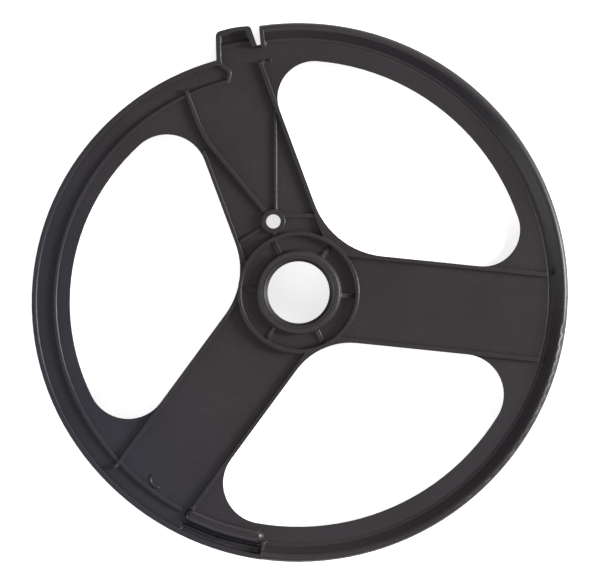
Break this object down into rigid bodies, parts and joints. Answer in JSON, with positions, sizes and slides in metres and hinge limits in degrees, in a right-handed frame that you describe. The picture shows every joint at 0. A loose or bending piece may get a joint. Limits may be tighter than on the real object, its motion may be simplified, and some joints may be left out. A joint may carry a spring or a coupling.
{
  "type": "film developing reel",
  "caption": "Open three-spoke film reel with two ribbed flanges on a hollow core, a stepped rim with a film entry notch, grip balls and a spring film clip.",
  "frame": {"origin": "on the spindle bore's axis, on the plane the rear flange's rim rests on", "axes": "+Z along the bore towards the front flange; +X to the right and +Y to the top as the front is looked at, with the film entry near the top"},
  "size_m": [0.2192, 0.2204, 0.0274],
  "materials": {
    "flange_plastic": "matte moulded, fine grain, charcoal",
    "core_plastic": "matte moulded",
    "screw_steel": "stainless, satin",
    "ball_steel": "stainless, polished"
  },
  "bodies": {
    "rear_half": {"rear_flange": "flange_plastic", "film_core": "core_plastic", "retaining_collar": "core_plastic", "core_screws": "screw_steel", "rear_ball_retainer": "core_plastic", "clip_pin": "screw_steel", "clip_spring": "screw_steel"},
    "front_half": {"front_flange": "flange_plastic", "front_ball_retainer": "core_plastic"},
    "front_ball": {"front_grip_ball": "ball_steel"},
    "rear_ball": {"rear_grip_ball": "ball_steel"},
    "clip": {"film_clip": "core_plastic"}
  },
  "joints": [
    {"name": "front_flange_twist", "type": "hinge", "parent": "rear_half", "child": "front_half", "pos_m": [0, 0, 0.0239], "axis": [0, 0, 1], "range_deg": [-18, 18]},
    {"name": "front_ball_roll", "type": "hinge", "parent": "front_half", "child": "front_ball", "pos_m": [0, 0, 0.0233], "axis": [0, 0, 1], "range_deg": [-7, 7]},
    {"name": "rear_ball_roll", "type": "hinge", "parent": "rear_half", "child": "rear_ball", "pos_m": [0, 0, 0.0041], "axis": [0, 0, 1], "range_deg": [-7, 7]},
    {"name": "film_clip_hinge", "type": "hinge", "parent": "rear_half", "child": "clip", "pos_m": [0.02054, -0.00668, 0.0137], "axis": [0, 0, 1], "range_deg": [0, 35], "stiffness_Nm_per_rad": 0.004, "springref_deg": -28.65}
  ]
}
